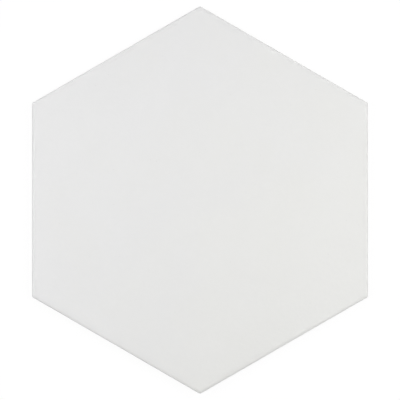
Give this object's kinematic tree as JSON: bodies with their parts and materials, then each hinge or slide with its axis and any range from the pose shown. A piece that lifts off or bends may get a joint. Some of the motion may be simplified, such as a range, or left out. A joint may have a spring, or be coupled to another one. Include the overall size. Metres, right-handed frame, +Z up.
{
  "type": "hexagon floor tile",
  "caption": "Plain matt white hexagonal porcelain floor tile with a softly pressed arris, drafted edges and a honeycomb key in its bed.",
  "frame": {"origin": "middle of the bed, on the surface that the tile lies on", "axes": "+Z up, out of the glazed face; +Y towards a corner, which is up in the picture; +X square to a straight edge"},
  "size_m": [0.22, 0.2536, 0.009],
  "materials": {
    "glazed_porcelain": "matte"
  },
  "bodies": {
    "root": {"hexagon_tile": "glazed_porcelain"}
  },
  "joints": []
}
